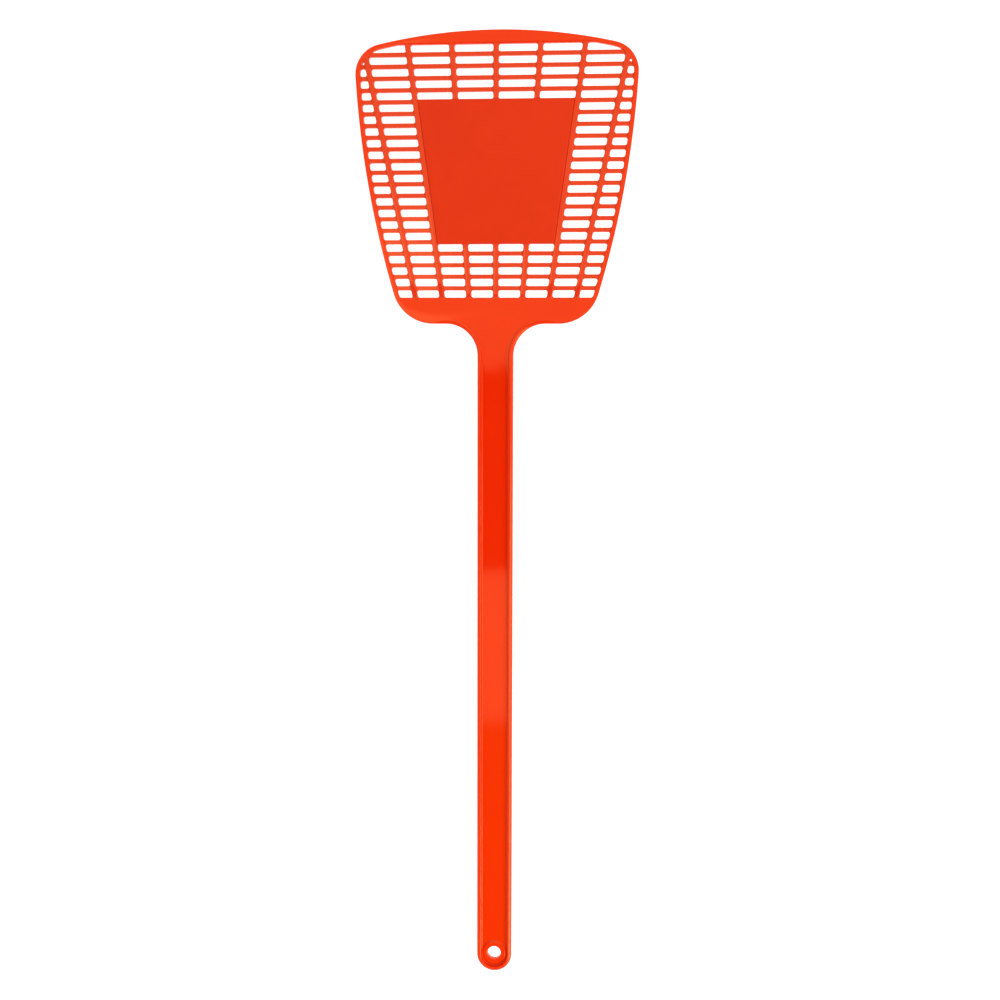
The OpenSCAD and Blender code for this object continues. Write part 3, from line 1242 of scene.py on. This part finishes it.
@dataclass
class Lattice:
    """The thin sheet that the slots pierce, and the ribs that stand on it."""

    plan: HeadPlan
    finish: bpy.types.Material
    sheet_t: float
    rib_t: float
    tuck: float = 0.9 * MM
    slip: float = 0.02 * MM
    slot_round: float = 0.8 * MM
    edge_round: float = 0.14 * MM
    rib_round: float = 0.35 * MM
    rib_root: float = 0.9 * MM
    rib_trim: float = 0.2 * MM
    rib_reach: float = 0.9 * MM
    rib_ease: float = 0.25 * MM
    rib_steps: int = 12
    sink: float = 0.22 * MM
    round_steps: int = 4
    edge_steps: int = 2
    edge_angle: float = 50.0
    merge: float = 0.001 * MM
    curve_steps: int = 6
    least_gap: float = 0.15 * MM
    least_slot: float = 0.5 * MM

    def build(self) -> None:
        """Builds the slotted sheet and the ribs."""
        bars = [f"crossbar_{k}" for k in range(1, self.plan.rows)]
        settle(self._sheet(), Body.HEAD, Slot.LATTICE, self.finish, *bars)
        ribs = [f"upright_{j}" for j in (1, 2, 6, 7)]
        ribs += [f"upright_{j}_{part}" for j in (3, 4, 5) for part in ("upper", "lower")]
        settle(self._ribs(), Body.HEAD, Slot.LATTICE, self.finish, *ribs)

    def _sheet(self) -> bpy.types.Object:
        """The sheet, cut by its slots, with softened edges.

        Returns:
            The piece.
        """
        plan_mesh = outline_mesh("slot_plan", [self._field(), *self._slots()], self.slip)
        sizes = {"Slot radius": self.slot_round, "Thickness": self.sheet_t - self.slip}
        piece = placed("slotted_sheet", self._sheet_tree(sizes).apply_to(plan_mesh))
        bevel = piece.modifiers.new("soft_edges", "BEVEL")
        bevel.width = self.edge_round
        bevel.segments = self.edge_steps
        bevel.limit_method = "ANGLE"
        bevel.angle_limit = math.radians(self.edge_angle)
        return placed("slotted_sheet", baked(piece))

    def _sheet_tree(self, sizes: dict[str, float]) -> GeometryTree:
        """The tree that rounds the slots' corners, fills the sheet round them and thickens it.

        Args:
            sizes: The tree's number inputs.

        Returns:
            The tree.
        """
        tree = GeometryTree("slotted_sheet", sizes, self.finish)
        graph = tree.graph
        lines = graph.get("GeometryNodeMeshToCurve", None, {"Mesh": tree.plan()})
        rounded = self._rounded(tree, lines, "Slot radius")
        sheet = graph.get("GeometryNodeFillCurve", {"mode": "TRIANGLES"}, {"Curve": rounded})
        up = graph.get("ShaderNodeCombineXYZ", None, {"Z": tree.size("Thickness")})
        sockets = {"Mesh": sheet, "Offset": up, "Individual": False}
        raised = graph.get("GeometryNodeExtrudeMesh", {"mode": "FACES"}, sockets)
        under = graph.get("GeometryNodeFlipFaces", None, {"Mesh": sheet})
        both = graph.add("GeometryNodeJoinGeometry")
        for part in (under, raised):
            graph.tree.links.new(part.socket, both.inputs[0])
        sockets = {"Geometry": graph.out(both), "Distance": self.merge}
        tree.close(graph.get("GeometryNodeMergeByDistance", None, sockets))
        return tree

    def _rounded(self, tree: GeometryTree, lines: Wire, size: str) -> Wire:
        """Curves with their corners rounded by one of the tree's sizes.

        Args:
            tree: The tree.
            lines: The curves.
            size: Name of the size.

        Returns:
            The rounded curves.
        """
        sockets = {"Curve": lines, "Radius": tree.size(size), "Limit Radius": True}
        sockets["Count"] = self.round_steps
        return tree.graph.get("GeometryNodeFilletCurve", {"mode": "POLY"}, sockets)

    def _field(self) -> list[Point]:
        """Outline of the sheet, tucked into the frame all round.

        Returns:
            Its corners.
        """
        plan = self.plan
        inset = plan.border - self.tuck
        low, high = plan.slots_bottom - self.tuck, plan.slots_top + self.tuck
        side = [
            point.inset(inset) for point in plan.right_edge() if low < point.inset(inset)[1] < high
        ]
        right = [(plan.half_width(low, inset), low), *side, (plan.half_width(high, inset), high)]
        return right + [(-x, y) for x, y in reversed(right)]

    def _slots(self) -> list[list[Point]]:
        """Outlines of all the slots, square-cornered.

        Returns:
            The corners of each slot.
        """
        plan = self.plan
        first, last = plan.panel_rows
        left, right = plan.panel_ribs
        slots = []
        for k in range(1, plan.rows + 1):
            low, high = plan.row(k)
            low += self.slip if k == plan.rows else 0.0
            high -= self.slip if k == 1 else 0.0
            seen = [j for j in range(plan.ribs + 2) if self._shows(j, (low + high) / 2)]
            for a, b in zip(seen, seen[1:]):
                if first <= k <= last and left <= a and b <= right:
                    continue
                slot = self._slot(a, b, low, high)
                if slot:
                    slots.append(slot)
        return slots

    def _shows(self, j: int, y: float) -> bool:
        """Whether wall j stands inside the border at a height.

        Args:
            j: The wall.
            y: The height.

        Returns:
            Whether it does.
        """
        plan = self.plan
        if j in (0, plan.ribs + 1):
            return True
        return abs(plan.rib_x(j, y)) - plan.rib_w / 2 < plan.half_width(y, plan.border)

    def _slot(self, a: int, b: int, low: float, high: float) -> list[Point]:
        """Outline of one slot between two walls.

        Args:
            a: The wall on its left.
            b: The wall on its right.
            low: Its lower edge.
            high: Its upper edge.

        Returns:
            Its corners, or nothing where the walls leave no room.
        """
        plan = self.plan
        curved = a == 0 or b == plan.ribs + 1
        at_corner = low > plan.corner_y or high < plan.lower_centre[1]
        steps = self.curve_steps if curved and at_corner else 1
        lift = {0: self.slip, plan.ribs + 1: -self.slip}
        left, right = [], []
        for step in range(steps + 1):
            y = lerp(low, high, step / steps)
            x0 = plan.wall_x(a, y, 1) + lift.get(a, 0.0)
            x1 = plan.wall_x(b, y, -1) + lift.get(b, 0.0)
            if x1 - x0 > self.least_gap:
                left.append((x0, y))
                right.append((x1, y))
        wide = max((r[0] - l[0] for l, r in zip(left, right)), default=0.0)
        if len(left) < 2 or wide < self.least_slot:
            return []
        return right + left[::-1]

    def _ribs(self) -> bpy.types.Object:
        """The ribs, each a rounded bar that sinks into what it meets at both ends.

        Returns:
            The piece.
        """
        lines = []
        for j in range(1, self.plan.ribs + 1):
            lines += [self._rib_line(j, low, high) for low, high in self._rib_runs(j)]
        plan_mesh = outline_mesh("rib_plan", lines, 0.0, closed=False)
        width, height = self.plan.rib_w - 2 * self.slip, self.rib_t - self.rib_root
        sizes = {"Width": width, "Height": height, "Round": self.rib_round}
        return placed("ribs", self._rib_tree(sizes).apply_to(plan_mesh))

    def _rib_runs(self, j: int) -> list[Point]:
        """Lower and upper end of each stretch of rib j.

        Args:
            j: The rib, counted from the left.

        Returns:
            One pair for each stretch.
        """
        plan = self.plan
        low, high = plan.slots_bottom, plan.slots_top
        first, last = plan.panel_ribs
        if first < j < last:
            panel_low, panel_high = plan.panel_span()
            return [(low, panel_low), (panel_high, high)]
        if j in (1, plan.ribs):
            while plan.half_width(high, plan.border) < plan.rib_x(plan.ribs, high):
                high -= self.rib_trim
        return [(low, high)]

    def _rib_line(self, j: int, low: float, high: float) -> list[tuple[float, float, float]]:
        """Centre line of a rib, dipping where it runs into its neighbours.

        Args:
            j: The rib.
            low: Its lower end.
            high: Its upper end.

        Returns:
            The line's points.
        """
        level = (self.rib_t + self.rib_root) / 2
        over, ease, steps = self.rib_reach, self.rib_ease, self.rib_steps
        stops = [(low - over, -self.sink), (low + ease, 0.0)]
        stops += [(lerp(low, high, t / steps), 0.0) for t in range(1, steps)]
        stops += [(high - ease, 0.0), (high + over, -self.sink)]
        return [(self.plan.rib_x(j, y), y, level + dip) for y, dip in stops]

    def _rib_tree(self, sizes: dict[str, float]) -> GeometryTree:
        """The tree that runs a rounded bar along each line.

        Args:
            sizes: The tree's number inputs.

        Returns:
            The tree.
        """
        tree = GeometryTree("ribs", sizes, self.finish)
        graph = tree.graph
        lines = graph.get("GeometryNodeMeshToCurve", None, {"Mesh": tree.plan()})
        upright = graph.get("GeometryNodeSetCurveNormal", {"mode": "Z_UP"}, {"Curve": lines})
        sockets = {"Width": tree.size("Width"), "Height": tree.size("Height")}
        block = graph.get("GeometryNodeCurvePrimitiveQuadrilateral", None, sockets)
        rounded = self._rounded(tree, block, "Round")
        sockets = {"Curve": upright, "Profile Curve": rounded, "Fill Caps": True}
        tree.close(graph.get("GeometryNodeCurveToMesh", None, sockets))
        return tree


def outline_mesh(
    name: str, lines: Sequence[Sequence[Sequence[float]]], z: float, closed: bool = True
) -> bpy.types.Object:
    """An object of bare edges along lines of points.

    Args:
        name: The object's name.
        lines: The lines; points of two numbers lie at height z.
        z: That height.
        closed: Whether each line runs round.

    Returns:
        The object, linked to the scene.
    """
    verts: list[tuple[float, float, float]] = []
    edges = []
    for line in lines:
        start, count = len(verts), len(line)
        verts += [(point[0], point[1], point[2] if len(point) > 2 else z) for point in line]
        edges += [(start + i, start + i + 1) for i in range(count - 1)]
        if closed:
            edges.append((start + count - 1, start))
    mesh = bpy.data.meshes.new(name)
    mesh.from_pydata(verts, edges, [])
    return link(name, mesh)


@dataclass
class Panel:
    """The solid swatting panel between ribs 2 and 6, with a soft bevel round its face."""

    plan: HeadPlan
    finish: bpy.types.Material
    height: float
    root: float = 0.9 * MM
    bevel: float = 0.4 * MM
    corner: float = 0.5 * MM
    gap: float = 0.02 * MM
    corner_steps: int = 5
    bevel_steps: int = 6

    def build(self) -> None:
        """Builds the panel."""
        settle(self._panel(), Body.HEAD, Slot.PANEL, self.finish, "panel")

    def _panel(self) -> bpy.types.Object:
        """The panel's block.

        Returns:
            The piece.
        """
        plan = self.plan
        low, high = plan.panel_span()
        left, right = plan.panel_ribs
        corners = [
            (plan.wall_x(left, low, 1) + self.gap, low),
            (plan.wall_x(right, low, -1) - self.gap, low),
            (plan.wall_x(right, high, -1) - self.gap, high),
            (plan.wall_x(left, high, 1) + self.gap, high),
        ]
        edge = rounded_outline(corners, self.corner, self.corner_steps)
        soft = self.bevel
        side = bend((soft, self.height - soft), soft, 180, 90, self.bevel_steps)
        skin = Skin()
        rings = skin.rings(edge, [(0.0, self.root), *side])
        skin.loft(rings, closed=True)
        skin.cap(rings[0])
        skin.cap(rings[-1])
        return skin.finished("panel_block")


# ---- Studio ----


@dataclass(frozen=True)
class Lamp:
    """A square soft lamp, hung off to one side of the object and pointed at its middle."""

    name: str
    offset: tuple[float, float, float]
    size: float
    power: float

    def hang(self, centre: Vector) -> None:
        """Hangs the lamp by the object's middle.

        Args:
            centre: The object's middle.
        """
        lamp = bpy.data.lights.new(self.name, "AREA")
        lamp.size = self.size
        lamp.energy = self.power
        holder = link(self.name, lamp)
        holder.location = centre + Vector(self.offset)
        holder.rotation_euler = (-Vector(self.offset)).to_track_quat("-Z", "Y").to_euler()


LAMPS = (
    Lamp("key_lamp", (0.75, 0.35, 0.85), size=0.7, power=1.0),
    Lamp("top_lamp", (0.1, 1.1, 0.8), size=0.8, power=1.0),
    Lamp("side_lamp", (0.3, -0.45, 0.4), size=0.3, power=1.3),
)


@dataclass(frozen=True)
class CeilingPatch:
    """A stretch of the surroundings overhead, by the x and y of the direction towards it."""

    x: tuple[float, float]
    y: tuple[float, float]
    strength: float
    soft: float = 0.006
    tone: Colour = WHITE


CEILING = (
    CeilingPatch((-0.3, 0.25), (-0.6, -0.26), 0.5, 0.012, tone=(1.0, 0.75, 0.1)),
    CeilingPatch((0.25, 1.2), (-0.5, -0.08), 3.2, 0.06),
    CeilingPatch((-0.3, 0.25), (-0.26, -0.1555), 1.15, 0.01),
    CeilingPatch((-0.4, 0.25), (-0.0085, 0.5), 0.97, 0.004),
    CeilingPatch((-0.4, -0.115), (-0.0085, 0.1), 1.9, 0.02),
    CeilingPatch((-0.4, 0.25), (-0.1555, -0.0125), 0.02, 0.003),
    CeilingPatch((-0.08, 0.25), (-0.02, -0.0085), 0.02, 0.002),
)


@dataclass
class Studio:
    """White floor, soft lamps, the bright surroundings and the camera."""

    floor_drop: float = 0.075
    floor_size: float = 40.0
    view_turn: tuple[float, float, float] = (-6.06, 4.488, 0.611)
    view_shift: tuple[float, float, float] = (1.916 * MM, 6.673 * MM, 589.398 * MM)
    lens: float = 50.0
    sensor: float = 36.0
    nearest: float = 10 * MM
    sky_strength: float = 0.92
    ceiling_from: float = 0.45
    ceiling_soft: float = 0.2

    def build(self, low: Vector, high: Vector) -> None:
        """Builds the studio round the object's box.

        Args:
            low: The box's lowest corner.
            high: Its highest corner.
        """
        centre = Vector((0.0, (low.y + high.y) / 2, 0.0))
        bpy.context.scene.view_settings.view_transform = "Standard"
        self._floor(low.z - self.floor_drop)
        self._camera(centre)
        for lamp in LAMPS:
            lamp.hang(centre)
        self._sky()

    def _floor(self, z: float) -> None:
        """A wide floor, not part of the object.

        Args:
            z: Its height.
        """
        half = self.floor_size / 2
        mesh = bpy.data.meshes.new("studio_floor")
        corners = [(-half, -half, z), (half, -half, z), (half, half, z), (-half, half, z)]
        mesh.from_pydata(corners, [], [(0, 1, 2, 3)])
        mesh.materials.append(FloorPaint().material())
        link("studio_floor", mesh)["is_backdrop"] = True

    def _camera(self, centre: Vector) -> None:
        """The camera, nearly overhead, a little right of the handle and towards the head.

        Args:
            centre: The object's middle.
        """
        camera = bpy.data.cameras.new("camera")
        camera.lens = self.lens
        camera.sensor_width = self.sensor
        camera.clip_start = self.nearest
        holder = link("camera", camera)
        turns = [math.radians(angle) for angle in self.view_turn]
        turn = Matrix.Rotation(turns[0], 4, "X") @ Matrix.Rotation(turns[1], 4, "Y")
        turn = turn @ Matrix.Rotation(turns[2], 4, "Z")
        place = centre + turn.to_3x3() @ Vector(self.view_shift)
        holder.matrix_world = Matrix.Translation(place) @ turn
        bpy.context.scene.camera = holder

    def _sky(self) -> None:
        """White surroundings with a dark gap overhead, which polished faces mirror."""
        world = bpy.data.worlds.new("studio")
        world.use_nodes = True
        bpy.context.scene.world = world
        graph = Graph(world.node_tree)
        way = graph.get("ShaderNodeTexCoord", None, None, "Generated")
        parts = graph.add("ShaderNodeSeparateXYZ", None, {"Vector": way})
        x, y, z = (graph.out(parts, axis) for axis in "XYZ")
        above = z.step(self.ceiling_from, self.ceiling_soft)
        strength: Wire | float = self.sky_strength
        colour: Wire | tuple[float, ...] = (*WHITE, 1.0)
        for patch in CEILING:
            share = x.between(*patch.x, patch.soft) * y.between(*patch.y, patch.soft) * above
            strength = strength + share * (patch.strength - strength)
            colour = graph.mix(share, colour, (*patch.tone, 1.0))
        sockets = {"Color": colour, "Strength": strength}
        sky = graph.get("ShaderNodeBackground", None, sockets)
        graph.add("ShaderNodeOutputWorld", None, {"Surface": sky})


def main() -> None:
    """Loads the frame and builds the swatter's sub-assemblies and the studio in order."""
    logging.basicConfig(level=logging.INFO, format="%(name)s: %(message)s")
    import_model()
    frame_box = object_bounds()
    shell = GlossPlastic("shell_plastic", (0.75, 0.021, 0.0009), (0.72, 0.018, 0.0005)).material()
    lattice = GlossPlastic("lattice_plastic", (0.69, 0.034, 0.01), (0.65, 0.028, 0.007)).material()
    face = PanelPlastic("panel_plastic", (0.65, 0.02, 0.0012), (0.61, 0.017, 0.0008)).material()
    handle = HandlePlan.read()
    head = HeadPlan.read(handle)
    builders: list[Callable[[], None]] = [
        Strap(handle, shell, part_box("hang_eye")[1].z).build,
        Neck(handle, shell).build,
        HeadFrame(handle, head, shell).build,
        Lattice(head, lattice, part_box("crossbar_1")[1].z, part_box("upright_2")[1].z).build,
        Panel(head, face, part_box("panel")[1].z).build,
    ]
    for build in builders:
        build()
    Studio().build(*frame_box)


if __name__ == "__main__":
    main()
